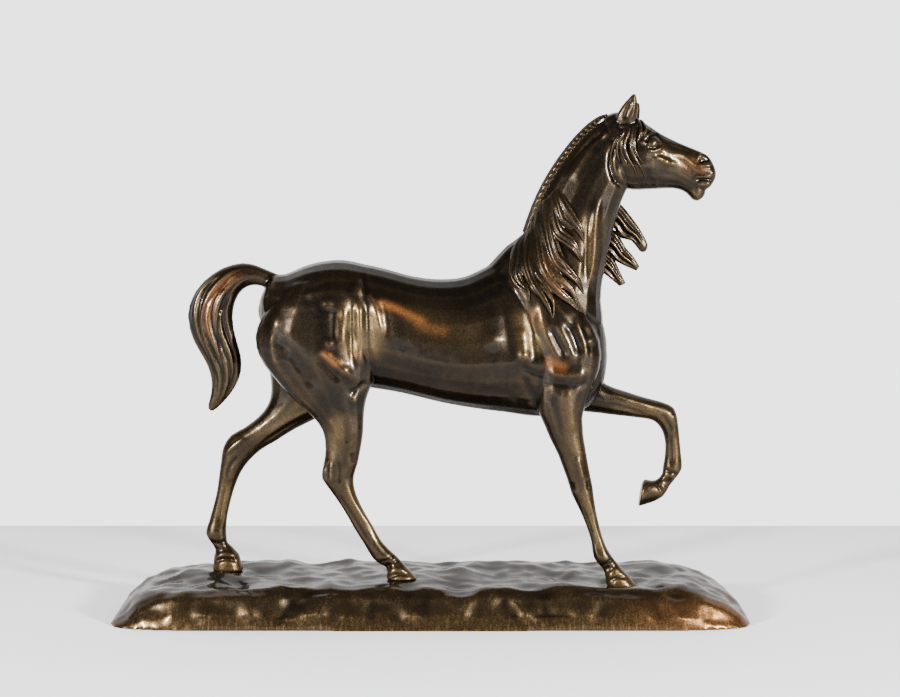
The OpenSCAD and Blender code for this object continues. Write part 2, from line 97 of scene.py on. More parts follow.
def castings_of(names, behind=None):
    """One mesh with copies of the named castings in it, cut off behind a place on the X axis."""
    bm = bmesh.new()
    for name in names:
        bm.from_mesh(NODES[name].data)
    bmesh.ops.remove_doubles(bm, verts=bm.verts, dist=2e-6)
    if behind is not None:
        everything = list(bm.verts) + list(bm.edges) + list(bm.faces)
        cut = bmesh.ops.bisect_plane(bm, geom=everything, plane_co=(behind * MM, 0, 0), plane_no=(1, 0, 0),
                                     clear_inner=True)
        bmesh.ops.holes_fill(bm, edges=[g for g in cut["geom_cut"] if isinstance(g, bmesh.types.BMEdge)])
    mesh = bpy.data.meshes.new("castings")
    bm.to_mesh(mesh)
    bm.free()
    return mesh


def islands(count, edges):
    """A number for each vertex that is the same all over its connected part."""
    label = np.arange(count)
    while True:
        low = np.minimum(label[edges[:, 0]], label[edges[:, 1]])
        new = label.copy()
        np.minimum.at(new, edges[:, 0], low)
        np.minimum.at(new, edges[:, 1], low)
        new = new[new]
        if (new == label).all():
            return label
        label = new


class Wax:
    """A skin that can be modelled: its points in millimetres, its edges and its mesh."""

    def __init__(self, mesh, voxel, whole=True):
        obj = bpy.data.objects.new("wax", mesh)
        bpy.context.scene.collection.objects.link(obj)
        skin = obj.modifiers.new("Skin", "REMESH")
        skin.mode = "VOXEL"
        skin.voxel_size = voxel * MM
        self.mesh = bpy.data.meshes.new_from_object(obj.evaluated_get(bpy.context.evaluated_depsgraph_get()))
        bpy.data.objects.remove(obj)
        if whole:
            label = islands(len(self.mesh.vertices), self.read_edges())
            names, sizes = np.unique(label, return_counts=True)
            keep = label == names[sizes.argmax()]
            bm = bmesh.new()
            bm.from_mesh(self.mesh)
            bm.verts.ensure_lookup_table()
            bmesh.ops.delete(bm, geom=[bm.verts[i] for i in np.flatnonzero(~keep)], context="VERTS")
            bm.to_mesh(self.mesh)
            bm.free()
        self.edges = self.read_edges()
        self.points = self.read("vertices", "co") / MM
        self.count = len(self.points)
        self.ties = np.bincount(self.edges.ravel(), minlength=self.count)[:, None]

    def read(self, layer, field):
        """A row of three numbers for each element of one layer of the mesh."""
        data = np.empty(len(getattr(self.mesh, layer)) * 3, np.float32)
        getattr(self.mesh, layer).foreach_get(field, data)
        return data.reshape(-1, 3).astype(float)

    def read_edges(self):
        """The two ends of each edge."""
        data = np.empty(len(self.mesh.edges) * 2, np.int32)
        self.mesh.edges.foreach_get("vertices", data)
        return data.reshape(-1, 2)

    def store(self):
        """Writes the points back to the mesh."""
        self.mesh.vertices.foreach_set("co", (self.points * MM).astype(np.float32).ravel())
        self.mesh.update()

    def average(self, values):
        """The mean of each point's neighbours."""
        out = np.empty_like(values)
        for c in range(values.shape[1]):
            out[:, c] = np.bincount(self.edges[:, 0], values[self.edges[:, 1], c], self.count) \
                + np.bincount(self.edges[:, 1], values[self.edges[:, 0], c], self.count)
        return out / self.ties

    def relax(self, steps):
        """Smooths the skin. A step back after each step keeps its volume."""
        for _ in range(steps):
            for amount in (0.5, -0.52):
                self.points += amount * (self.average(self.points) - self.points)
        self.store()

    def normals(self):
        """The way out of the skin at each point."""
        self.store()
        return self.read("vertex_normals", "vector")

    def crown(self, steps):
        """How far each point stands out of its surroundings, averaged over some steps."""
        soft = self.points.copy()
        for _ in range(steps):
            soft = self.average(soft)
        return ((self.points - soft) * self.normals()).sum(1)

    def facing(self):
        """How squarely each point faces sideways: 0 on the outline, 1 on a flank."""
        return np.abs(self.normals()[:, 1]) ** 0.7

    def along_paths(self, marks):
        """The sum at each point of soft lines (height, width, points) drawn on the side view."""
        total = np.zeros(self.count)
        for height, width, points in marks:
            who, d, share = along(self.points[:, [0, 2]], points, 2.6 * width)
            ends = np.clip(4 * share, 0, 1) * np.clip(4 * (1 - share), 0, 1)
            total[who] += height * np.exp(-(d / width) ** 2) * (3 - 2 * ends) * ends ** 2
        return total

    def at_spots(self, spots):
        """The sum at each point of soft round spots (height, radius, x, z)."""
        total = np.zeros(self.count)
        for height, radius, x, z in spots:
            away = (self.points[:, 0] - x) ** 2 + (self.points[:, 2] - z) ** 2
            total += height * np.exp(-away / radius ** 2)
        return total

    def push(self, rise):
        """Moves each point out of the skin by its own amount."""
        self.points += self.normals() * rise[:, None]
        self.store()

    def knead(self, height, wave):
        """Small unevenness left by the modeller's hands."""
        self.push(height * self.grain(wave, 3))

    def grain(self, wave, octaves):
        """Noise of a given wavelength at each point."""
        return np.array([noise.fractal(p, 0.8, 2.1, octaves) for p in (self.points / wave).tolist()])

    def tree(self):
        """The skin as a tree that rays can be cast at."""
        self.store()
        bm = bmesh.new()
        bm.from_mesh(self.mesh)
        tree = BVHTree.FromBMesh(bm)
        bm.free()
        return tree


def finish_layers(wax, wear, copper, fine, broad):
    """Writes each point's wear and painted highlight, its copper and how recessed it is, which the bronze
    finish reads.
    """
    small, large = wax.crown(fine), wax.crown(broad)
    polish = np.clip(small / 0.4, 0, 1) * 0.32 + np.clip(large / 1.4, 0, 1) * 0.1
    hollow = np.clip(-small / 0.3, 0, 1) * 0.7 + np.clip(-large / 1.6, 0, 1) * 0.12
    set_layer(wax.mesh, "wear", np.clip(polish + wear, 0, 1))
    set_layer(wax.mesh, "copper", np.clip(copper, 0, 1))
    set_layer(wax.mesh, "hollow", np.clip(hollow, 0, 1))


def set_layer(mesh, name, values):
    """Stores a value for each point of a mesh under a name."""
    layer = mesh.attributes.get(name) or mesh.attributes.new(name, "FLOAT", "POINT")
    layer.data.foreach_set("value", np.asarray(values, np.float32))


def add_piece(name, mesh, material, replaces=()):
    """Links a finished mesh as a piece of the statue."""
    obj = bpy.data.objects.new(name, mesh)
    bpy.context.scene.collection.objects.link(obj)
    mesh.materials.clear()
    mesh.materials.append(material)
    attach(obj, "root")
    if replaces:
        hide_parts(*replaces)
    return obj


def cut_castings(mesh, joints, seeds):
    """Cuts a skin at the joints, closes both sides of each cut, and returns one mesh for each seed."""
    bm = bmesh.new()
    bm.from_mesh(mesh)
    for (x, y, z), (nx, nz), (low, high) in joints:
        low, high = Vector(low) * MM, Vector(high) * MM
        inside = [v for v in bm.verts if all(low[i] <= v.co[i] <= high[i] for i in range(3))]
        edges = {e for v in inside for e in v.link_edges}
        faces = {f for v in inside for f in v.link_faces}
        place, out_of_cut = Vector((x, y, z)) * MM, Vector((nx, 0, nz)).normalized()
        cut = bmesh.ops.bisect_plane(bm, geom=inside + list(edges) + list(faces), dist=1e-7,
                                     plane_co=place, plane_no=out_of_cut)
        seam = [g for g in cut["geom_cut"] if isinstance(g, bmesh.types.BMEdge)]
        bmesh.ops.split_edges(bm, edges=seam)
    bm.verts.index_update()
    bm.verts.ensure_lookup_table()
    edges = np.array([[v.index for v in e.verts] for e in bm.edges])
    label = islands(len(bm.verts), edges)
    places = np.array([v.co for v in bm.verts]) / MM
    out = {}
    for name, seed in seeds.items():
        mine = label[((places - seed) ** 2).sum(1).argmin()]
        piece = bm.copy()
        piece.verts.ensure_lookup_table()
        bmesh.ops.delete(piece, geom=[piece.verts[i] for i in np.flatnonzero(label != mine)], context="VERTS")
        rim = [e for e in piece.edges if e.is_boundary]
        for f in piece.faces:
            f.smooth = True
        caps = bmesh.ops.holes_fill(piece, edges=rim)["faces"]
        for f in caps:
            f.smooth = False
        for e in rim:
            e.smooth = False
        out[name] = bpy.data.meshes.new(name)
        piece.to_mesh(out[name])
        piece.free()
    bm.free()
    return out


JOINTS = {
    "near_foreleg": ((72, -18, 110), (0, 1), ((50, -40, 100), (100, 0, 120))),
    "raised_foreleg": ((97, 17, 119), (1, -0.12), ((88, 0, 95), (108, 40, 135))),
    "near_hindleg": ((-55, -18, 122), (0, 1), ((-95, -40, 110), (-20, 0, 134))),
    "far_hindleg": ((-70, 17, 120), (-0.156, -0.988), ((-110, 0, 100), (-35, 40, 134))),
    "tail": ((-91, 0, 188), (-0.866, 0.5), ((-110, -20, 170), (-75, 20, 205))),
    "neck": ((67, 0, 181.5), (0.595, 0.804), ((0, -60, 100), (130, 60, 240))),
    "head": ((101.5, 0, 257.5), (0.949, 0.316), ((60, -60, 215), (130, 60, 300))),
}
SEEDS = {
    "torso": (-20, -26, 150), "neck": (80, -12, 225), "head": (150, 0, 250), "tail": (-130, 0, 170),
    "near_foreleg": (95, -20, 45), "raised_foreleg": (141, 18, 90), "near_hindleg": (-30, -20, 50),
    "far_hindleg": (-120, 18, 50),
}
FOREHAND_X = 28  # the finer skin of the neck and the head starts here
THROAT_X = 92  # the far mane hangs clear of the neck in front of this place
SOLES = [(103.5, -20), (-16.6, -20), (-114.6, 18)]
FIXINGS = ["hoof_studs", "hoof_washers", "hoof_nuts", "leg_dowels", "neck_dowels", "head_dowel", "tail_dowel"]
FIGURE = ["torso", "neck", "head", "tail", "near_foreleg", "raised_foreleg", "near_hindleg", "far_hindleg"]


# Ridges (+) and grooves (-) of the modelling, drawn on the side view: height, width, points (x, z).
BODY_MARKS = [
    # flank and thigh
    (-1.2, 2.2, [(-42.6, 180), (-42.6, 165), (-42.6, 150), (-41, 140)]),
    (0.9, 2.4, [(-46.6, 175), (-47.6, 162), (-48, 150)]),
    (1.3, 2.2, [(-39, 181), (-38.6, 166), (-38.4, 152), (-37, 143), (-35.6, 138)]),
    (-1.0, 1.9, [(-34.6, 178), (-33.8, 164), (-33.4, 151), (-31, 141)]),
    (1.1, 2.2, [(-36, 184), (-31, 176), (-28.6, 168), (-26, 157)]),
    (-0.5, 2.4, [(-26, 179), (-23.6, 167), (-22.6, 155)]),
    (-0.7, 1.8, [(-37.4, 193), (-36.4, 187), (-33, 180)]),
    (0.8, 2.4, [(-61, 153), (-56, 147.4), (-50, 142), (-45, 137), (-39, 132.6)]),
    (-0.7, 2.4, [(-62, 148), (-55, 141), (-48, 133)]),
    (-0.9, 1.7, [(-45, 126), (-39.6, 129.4), (-34, 134)]),
    (-1.0, 4.4, [(-85, 160), (-72, 143), (-60, 127)]), (0.7, 3.2, [(-90, 150), (-79, 135), (-66, 121)]),
    (-0.5, 2.0, [(-52, 176), (-52.4, 165), (-52.6, 155)]),
    (-0.4, 2.2, [(-47, 114), (-46.4, 106), (-45.6, 98)]), (0.5, 1.8, [(-55, 114), (-51, 106), (-48.6, 99)]),
    # ribs and belly
    (0.4, 3.4, [(-30, 176.4), (-20, 173), (-10, 168), (2, 165)]),
    (-0.4, 4.0, [(-26, 182), (-8, 177), (10, 173), (30, 174)]),
    (-0.5, 2.4, [(24, 129), (40, 127), (52, 121)]),
    (-0.4, 3.0, [(-28, 146), (-10, 139), (12, 133), (34, 131)]),
    (-0.4, 2.8, [(40, 178), (41.6, 162), (43.6, 146)]),
    # shoulder and chest
    (-1.0, 3.0, [(55, 178), (55.6, 165), (56.6, 152), (58, 142)]),
    (0.75, 3.2, [(49.4, 164), (50.6, 152), (51.6, 143)]),
    (0.7, 2.2, [(60, 177), (61, 168), (64, 159), (68, 150), (72, 142)]),
    (-1.0, 2.2, [(64.6, 164), (69, 155.6), (74.6, 145)]),
    (0.7, 1.9, [(68.6, 168), (72.6, 159), (77, 149), (79, 142)]),
    (-0.9, 2.0, [(74, 166), (78.6, 157), (82, 147)]),
    (0.7, 1.8, [(78, 170), (82, 160), (84.6, 151), (85.6, 143)]),
    (-0.6, 1.8, [(83, 166), (87, 156), (88.4, 147)]), (0.5, 1.6, [(82, 172), (87, 162), (90, 153)]),
    (0.5, 1.9, [(62, 139.4), (72, 137), (80, 137), (88, 138)]),
    (-0.55, 2.0, [(64, 132.6), (74, 131.4), (80, 131), (88, 133)]),
    (-0.5, 1.7, [(49, 141.6), (56, 138.6), (63, 136)]), (-0.8, 2.2, [(50.6, 137), (55, 128), (60.6, 118)]),
    (0.6, 1.6, [(54, 122), (57, 117.6), (61, 113.6)]), (0.9, 3.2, [(73.6, 131), (75.6, 120), (78.6, 104)]),
    (-0.6, 2.0, [(66, 128), (69.4, 116), (73, 102)]),
    # neck
    (1.0, 2.3, [(92, 235), (90, 216), (89.4, 195), (89, 177)]),
    (-0.9, 2.0, [(87, 228), (85.4, 205), (85, 186)]), (-0.4, 2.0, [(95.4, 236), (94.4, 214), (94.2, 194)]),
    (0.5, 3.0, [(91, 262), (84, 252), (77.6, 241)]),
    (-0.7, 1.5, [(97, 271), (87, 263), (78, 253.6), (71.6, 243)]),
    (-1.0, 1.6, [(100.6, 263), (98.6, 253), (100.6, 244), (106, 237.6)]),
]
LEG_MARKS = [
    # near hind
    (0.5, 1.0, [(-56.6, 90), (-58.2, 85), (-58.6, 81)]), (-0.5, 0.9, [(-56.4, 88), (-56.8, 78)]),
    (0.4, 0.9, [(-54.6, 89), (-54.6, 77)]), (-0.6, 1.1, [(-50, 90), (-49.6, 83), (-50.4, 76)]),
    (0.5, 1.1, [(-46.8, 80), (-43.8, 70), (-38, 60), (-30.4, 50), (-25.6, 42)]),
    (-0.7, 1.1, [(-52, 73), (-44.6, 62), (-36.4, 49), (-31.4, 40.6)]),
    (-0.7, 1.4, [(-43, 94), (-41.6, 88)]), (-0.7, 1.0, [(-29, 33.4), (-23, 34.6), (-18.6, 38)]),
    (-0.5, 0.9, [(-25, 30), (-20, 33), (-15, 34.4)]), (0.4, 0.9, [(-24.6, 25.8), (-19, 29.4), (-13, 28.4)]),
    (-1.2, 1.0, [(-24.6, 24), (-18, 26.8), (-11.4, 26.2)]),
    # near fore
    (0.5, 1.0, [(80, 92), (82.4, 84), (83.6, 78)]), (-0.5, 1.0, [(86, 80), (87, 72)]),
    (-0.6, 1.6, [(77, 78), (78.6, 72)]),
    (0.5, 0.9, [(85, 72), (88.6, 62), (90.6, 52), (94.4, 42), (97, 37)]),
    (-0.7, 1.0, [(83, 66), (87, 54), (90.6, 43), (93.6, 36.6)]),
    (-0.5, 0.9, [(92.4, 55), (96, 45), (99, 38)]), (0.4, 0.9, [(89, 50), (91.6, 38), (93, 33)]),
    (-0.8, 0.9, [(92, 31), (97, 32.6), (101, 36)]), (0.4, 0.9, [(97, 25.4), (102, 29), (107, 27.4)]),
    (-1.2, 1.0, [(97.2, 22), (103, 25.4), (108.6, 24.4)]),
    # raised fore
    (0.6, 1.2, [(98, 124), (112, 119), (126, 114.4)]), (-0.6, 1.2, [(98, 118), (110, 114.6), (122, 110.6)]),
    (-0.6, 1.0, [(129, 112), (133, 106), (136, 100)]), (0.4, 0.9, [(136, 111), (138, 104)]),
    (-0.7, 0.9, [(134.8, 99), (135.4, 90), (135.8, 82)]),
    (-0.7, 0.9, [(130.6, 79.6), (135, 78), (140, 76)]), (-0.7, 0.8, [(130, 66.6), (126.4, 71.6)]),
    (0.4, 0.8, [(132, 67.6), (128.4, 73)]),
    # far hind
    (0.6, 1.4, [(-64, 116), (-80, 107.6), (-94, 98)]), (-0.6, 1.2, [(-70, 110), (-86, 100.6), (-98, 92)]),
    (0.5, 1.0, [(-104, 98), (-112, 92), (-116, 87)]), (-0.7, 1.1, [(-108, 88), (-113, 81), (-114.6, 74)]),
    (-0.7, 0.9, [(-115.4, 72), (-117.6, 60), (-120, 48)]),
    (0.4, 0.9, [(-112.8, 70), (-115, 56), (-118, 44)]), (-0.7, 0.9, [(-125, 39), (-120, 37.6), (-115, 39)]),
    (0.4, 0.9, [(-122.4, 29.4), (-116, 32), (-109, 30)]),
    (-1.2, 1.0, [(-122.8, 26.6), (-116, 29), (-108, 27.4)]),
]
HEAD_MARKS = [
    (0.7, 1.5, [(121, 257), (129.4, 252.6), (137, 250.6)]),
    (-0.4, 2.0, [(121, 251.6), (129, 246.8), (138, 246)]),
    (0.7, 1.7, [(131, 258), (139, 255.4), (146, 249), (154, 246)]),
    (-0.6, 1.4, [(128, 262), (137, 259.4), (146, 257)]),
    (0.9, 1.5, [(115, 267.6), (119, 270.4), (125, 269.4)]), (0.6, 1.3, [(115.6, 262), (117, 264)]),
    (-1.2, 0.8, [(117.6, 261.4), (118.6, 264.6), (121, 267), (124, 267), (126.6, 264.6), (128.4, 262)]),
    (-0.8, 0.7, [(118.6, 261.4), (122, 260.4), (126, 262), (128, 262.6)]),
    (0.8, 0.6, [(118, 259.6), (122, 258.4), (126, 259.8), (128.6, 262.4)]),
    (0.8, 0.6, [(117.6, 264), (120.4, 268), (124, 268.4), (127, 266)]),
    (-0.5, 1.4, [(118, 256), (123, 255.6), (129, 258)]),
    (-1.7, 1.2, [(147, 252.4), (150.4, 253.4), (154, 252.8)]),
    (1.1, 0.9, [(146, 254.6), (150.4, 256.4), (154.8, 254.6)]),
    (1.0, 0.9, [(146, 250.6), (150.6, 250.4), (155, 250.6)]),
    (-1.2, 0.7, [(145.4, 242), (149.4, 243), (155.6, 242.4)]),
    (0.6, 0.9, [(145, 244.6), (150, 244.2), (155, 244.4)]),
    (0.7, 0.9, [(146.6, 240.6), (150, 239.8), (153.6, 240.4)]),
    (-0.5, 0.9, [(147, 237.8), (150, 237.4), (153, 238)]),
    (-0.9, 1.4, [(100.6, 262), (98.6, 253), (100.6, 244), (106, 238)]),
    (0.7, 1.5, [(102.6, 250), (104, 244.6), (109, 240.4), (116, 239.6)]),
    (-0.5, 1.6, [(119, 250), (120, 244), (124, 240)]), (-0.5, 1.3, [(124, 240.6), (132, 241), (139, 240)]),
    (-0.9, 1.1, [(110.4, 286.6), (108, 281), (105.6, 275)]),
    (0.5, 0.8, [(111.6, 287), (111.2, 281), (109.6, 275)]),
    (-0.6, 1.2, [(101, 273), (105, 270.4), (110, 271)]),
    (0.5, 0.9, [(113.4, 276), (115, 270), (113.6, 265)]), (-0.5, 0.7, [(116.4, 274), (117, 268.6)]),
    (0.5, 0.8, [(119, 273), (118.6, 269)]),
]
BUMPS = [  # height, radius, x, z
    (1.5, 3.4, -39, 183.4), (0.8, 2.4, -55, 154), (0.7, 2.4, -56, 176), (0.9, 2.8, -46, 139.6),
    (0.8, 2.6, 96.6, 267.6), (1.0, 3.4, 51, 147), (1.0, 4.6, 34, 156), (0.9, 4.0, -84, 165),
    (0.6, 2.0, -41.6, 123), (0.8, 2.4, 88, 155),
]
OUTLINE_SPOTS = [
    (-1.2, 2.2, -23.6, 31), (-1.1, 2.2, 97.4, 29.6), (-1.0, 2.6, -114, 38), (-0.8, 2.2, 133, 73),
    (1.9, 5.5, -95, 176.5), (2.3, 4.2, -96.5, 169), (1.0, 6, -99, 160),
]
CHIN_SPOTS = [(1.5, 3.4, 146, 233), (-1.1, 1.9, 152.4, 236.6), (0.5, 1.5, 153, 240.4)]
HEAD_BUMPS = [
    (1.4, 2.3, 122.8, 263.4), (0.9, 2.0, 129.4, 252.4), (1.2, 8.0, 111.6, 248.6), (0.8, 3.0, 146.4, 235),
    (0.6, 1.6, 154.6, 246),
]
TAIL_FLOW = [  # outer and inner edge of the tail from its root to its tip
    (-91, 193, -91, 183.4), (-98, 195.6, -97.6, 184.4), (-104, 196.5, -103, 182.4),
    (-110.8, 195.4, -106.8, 178.2), (-117.4, 192.6, -109, 172.2), (-124.6, 187.4, -109.7, 167),
    (-130.4, 180.6, -109.4, 162.6), (-133.6, 173, -108.8, 158.6), (-134.4, 166, -107.6, 153.8),
    (-133.2, 158.4, -106.2, 149), (-130.4, 151.4, -105, 143.6), (-126.8, 145, -105, 138),
    (-123.6, 138.4, -106.2, 132.4), (-121.8, 131, -109, 126.8), (-122.2, 123.6, -113.4, 121),
    (-123, 114.6, -121.6, 114),
]


# ---------------------------------------------------------------- hair

# Locks of hair: half width, lift off the skin, sway and the path (x, z) from root to tip.
MANE_LOCKS = [
    (2.0, 2.0, 0.5, [(69, 237), (71, 232), (74, 227), (78.6, 220), (82.4, 214), (83.6, 207)]),
    (1.9, 2.4, 0.6, [(68, 236), (70, 229), (72.4, 222), (76.6, 217.6), (81, 215.6)]),
    (2.1, 3.0, 0.7, [(66.6, 234), (67.6, 222), (70, 214), (74.6, 210), (78.6, 206), (81.6, 202),
     (85, 196)]),
    (2.2, 2.6, 0.7, [(65, 232), (65, 219), (66, 210), (68.4, 203), (72.4, 198), (78.4, 192), (82.4, 187),
     (84.6, 180.6)]),
    (2.2, 3.2, 0.8, [(63.6, 231), (63, 221), (64.4, 212), (67, 202), (70, 196), (75, 191), (80, 186),
     (83.6, 180)]),
    (2.3, 2.4, 0.8, [(62, 229), (60.8, 218), (61, 208), (62.4, 199), (66, 192), (72, 187), (77, 183),
     (81, 176), (85.6, 168.6)]),
    (2.2, 3.2, 0.8, [(60, 225), (58.6, 213), (59, 203), (60.6, 195), (65, 188), (71, 182), (77, 177),
     (82, 170.6)]),
    (2.3, 2.6, 0.8, [(58, 219), (55.6, 209), (55.2, 200), (57.6, 192), (61.6, 186), (65, 180),
     (67.6, 175), (68, 167)]),
    (2.2, 3.2, 0.7, [(56, 215), (52.8, 207), (51.8, 199), (53.6, 191), (56.6, 185), (60.8, 180),
     (64.6, 174), (66.6, 168)]),
    (2.2, 2.4, 0.6, [(53.4, 212), (49.6, 206), (48, 199), (47, 192), (48.6, 187), (52.4, 182), (54, 174)]),
    (1.9, 1.8, 0.5, [(51.6, 210), (47.6, 203), (46, 195), (46.4, 188)]),
]
CREST_EDGES = [  # outer and inner edge of the short mane on the crest, from the withers to the poll
    (50.5, 214, 62, 208), (55.6, 228.4, 66, 223), (61, 240, 71, 234), (67, 250.2, 76, 243),
    (73.4, 259.2, 82, 251), (79.6, 266.8, 87, 258), (86.8, 273.8, 92, 265), (93.6, 278.2, 97, 269),
    (97.4, 280, 99, 272),
]
POLL_SPOT = (-1.1, 3.2, 97.6, 279.6)  # height, radius, x, z
BLOWN_EDGES = [  # upper and lower edge of each lock that blows clear in front of the throat
    [(82, 241, 84, 226), (95, 236, 96, 221), (105.5, 229, 103, 214), (112.4, 220.6, 106, 209.6),
     (117.4, 213.4, 111.6, 208.2), (121.2, 206, 116.4, 202.4)],
    [(82, 228, 82, 212), (94, 220, 93, 206), (103.4, 213, 100, 200), (108.6, 204.4, 103.6, 196.6),
     (113.4, 199, 109.2, 193.6), (116.6, 193.8, 114.6, 191.2)],
    [(82, 213, 84, 198), (93, 206, 93, 192), (101.4, 199, 97.6, 189), (105.8, 190.6, 101.2, 186.2),
     (109, 184.4, 105.2, 182.6)]]
FAR_LOCKS = [
    (2.6, 2.0, 0.8, [(58, 219), (55, 209), (55, 200), (58, 192), (62, 186), (66, 178), (69, 168)]),
    (2.6, 2.8, 0.9, [(61, 227), (59, 215), (60, 205), (63, 196), (69, 189), (75, 182), (80, 173)]),
    (2.5, 2.2, 0.9, [(64, 232), (64, 221), (66, 211), (70, 203), (76, 196), (82, 190), (87, 183)]),
    (2.4, 3.0, 0.9, [(67, 236), (68, 228), (72, 220), (78, 213), (84, 208), (90, 200)]),
    (2.2, 2.0, 0.7, [(71, 241), (74, 234), (79, 228), (85, 223), (92, 218)]),
    (2.2, 1.8, 0.6, [(54, 213), (50, 204), (48, 196), (51, 188), (55, 178)]),
]
CHEEK_LOCKS = [
    (1.1, 0.9, 0.1, [(106, 269), (102.4, 266), (100, 261), (98.8, 256), (98.6, 250)]),
    (1.2, 1.3, 0.1, [(106.6, 270), (104, 266), (102.2, 261), (102.4, 256), (104, 251.6)]),
    (1.3, 1.7, 0.1, [(109, 271), (106.8, 265), (106.2, 260), (108, 254.6), (111.6, 249), (114.6, 241)]),
    (1.2, 2.0, 0.1, [(111, 272), (109.6, 265), (110, 259), (112.4, 253.6), (116, 248), (118.4, 241)]),
    (1.1, 1.5, 0.1, [(112.4, 272.6), (111.4, 266), (111.6, 260), (113.6, 255.6), (116.6, 251)]),
    (1.0, 1.0, 0.1, [(107.6, 271), (104.8, 263.6), (104.6, 258), (107, 252), (109.6, 246.6)]),
    (1.2, 0.8, 0.1, [(113, 276), (115, 271), (114.2, 266), (112.6, 262)]),
    (1.1, 0.8, 0.1, [(115.6, 275), (117.8, 270.6), (117, 267)]),
]
LOCK_RINGS, LOCK_SIDES = 26, 12  # the fineness of one lock before it joins the skin
CREST_HAIRS = 44
HAIR_SEED = 3
FORELOCK_CELL, CREST_CELL = 0.3, 0.38  # cells of these two skins, in millimetres


def skin_depth(tree, side, x, z):
    """How far out to one side the skin lies at a place on the side view."""
    hit = tree.ray_cast(Vector((x, side * 90, z)) * MM, Vector((0, -side, 0)), 0.12)[0]
    if hit is None or hit.y * side < -0.002:
        hit = tree.find_nearest(Vector((x, side * 6, z)) * MM)[0]
    return hit.y / MM


def lock_of_hair(bm, tree, side, half, lift, sway, path, phase, shift=0.0):
    """A fluted, tapering and waving lock that lies on a skin."""
    flat = smooth_path(path, LOCK_RINGS)
    share = np.linspace(0, 1, LOCK_RINGS)
    way = np.gradient(flat, axis=0)
    way /= np.linalg.norm(way, axis=1)[:, None]
    aside = shift * np.sin(np.pi * (0.15 + 0.85 * share)) + sway * share * np.sin(7.5 * share + phase)
    flat = flat + np.stack([-way[:, 1], way[:, 0]], 1) * aside[:, None]
    y = np.array([skin_depth(tree, side, x, z) for x, z in flat])
    for _ in range(2):
        y[1:-1] = (y[:-2] + 2 * y[1:-1] + y[2:]) / 4
    up = lift * np.sin(np.pi * (0.06 + 0.9 * share)) ** 0.7
    centre = np.stack([flat[:, 0], y + side * (up - 0.35 * half), flat[:, 1]], 1)
    way = np.gradient(centre, axis=0)
    rings = []
    for i in range(LOCK_RINGS):
        t = Vector(way[i]).normalized()
        out = (Vector((0, side, 0)) - t * t.y * side).normalized()
        across = t.cross(out)
        swell = max(math.sin(math.pi * (0.2 + 0.8 * share[i]) ** 0.8), 0.04) ** 0.7 * half
        made = bmesh.ops.create_circle(bm, segments=LOCK_SIDES, radius=1)["verts"]
        for j, v in enumerate(made):
            a = 2 * math.pi * j / LOCK_SIDES
            flute = 1 + 0.12 * math.cos(3 * a + 1.2)
            spoke = across * math.cos(a) + out * math.sin(a) * 0.85
            v.co = (Vector(centre[i]) + spoke * swell * flute) * MM
        rings.append(list({e for v in made for e in v.link_edges}))
        if i in (0, LOCK_RINGS - 1):
            bmesh.ops.contextual_create(bm, geom=made)
        if i:
            bmesh.ops.bridge_loops(bm, edges=rings[-2] + rings[-1])


def hair_skin(tree, side, locks, voxel, base=(), fill=True):
    """Locks laid over one another and joined into one skin of hair."""
    chance = np.random.default_rng(HAIR_SEED)
    bm = bmesh.new()
    for name in base:
        bm.from_mesh(NODES[name].data)
    bmesh.ops.remove_doubles(bm, verts=bm.verts, dist=2e-6)
    for half, lift, sway, path in locks:
        phase = chance.uniform(0, 6)
        lock_of_hair(bm, tree, side, half, lift, sway, path, phase)
        if fill:
            lock_of_hair(bm, tree, side, half * 1.35, lift * 0.15, sway, path, phase)
            for turn in (-1, 1):
                short = path if chance.random() < 0.6 else path[:-1]
                thin, raised = half * chance.uniform(0.5, 0.68), lift * chance.uniform(0.7, 1.25)
                aside = turn * half * chance.uniform(0.9, 1.3)
                lock_of_hair(bm, tree, side, thin, raised, sway, short, phase + turn * 0.5, aside)
    bmesh.ops.recalc_face_normals(bm, faces=bm.faces)
    mesh = bpy.data.meshes.new("hair")
    bm.to_mesh(mesh)
    bm.free()
    wax = Wax(mesh, voxel, whole=False)
    wax.relax(2)
    return wax


def flow_marks(edges, lines, depth, width, waver):
    """Grooves and ridges that run the length of a lock between its two edges."""
    edges = np.array(edges, float)
    marks = []
    for i in range(lines):
        across = 0.06 + 0.88 * i / (lines - 1) + waver * np.sin(np.arange(len(edges)) * 0.55 + i)
        points = edges[:, :2] * (1 - across[:, None]) + edges[:, 2:] * across[:, None]
        first = 0 if i % 3 == 1 else i % 4 * len(edges) // 16
        marks.append((-depth if i % 2 else 0.7 * depth, width, [tuple(p) for p in points[first:]]))
    return marks


def crest_marks():
    """Short oblique hairs along the crest."""
    edges = np.array(CREST_EDGES, float)
    outer, inner = (smooth_path(edges[:, i:i + 2], CREST_HAIRS + 4) for i in (0, 2))
    marks = []
    for i in range(CREST_HAIRS):
        middle = (inner[i + 3] + outer[i + 1]) / 2
        marks.append((0.13 if i % 2 else -0.17, 0.55, [tuple(inner[i + 4]), tuple(middle), tuple(outer[i])]))
    return marks
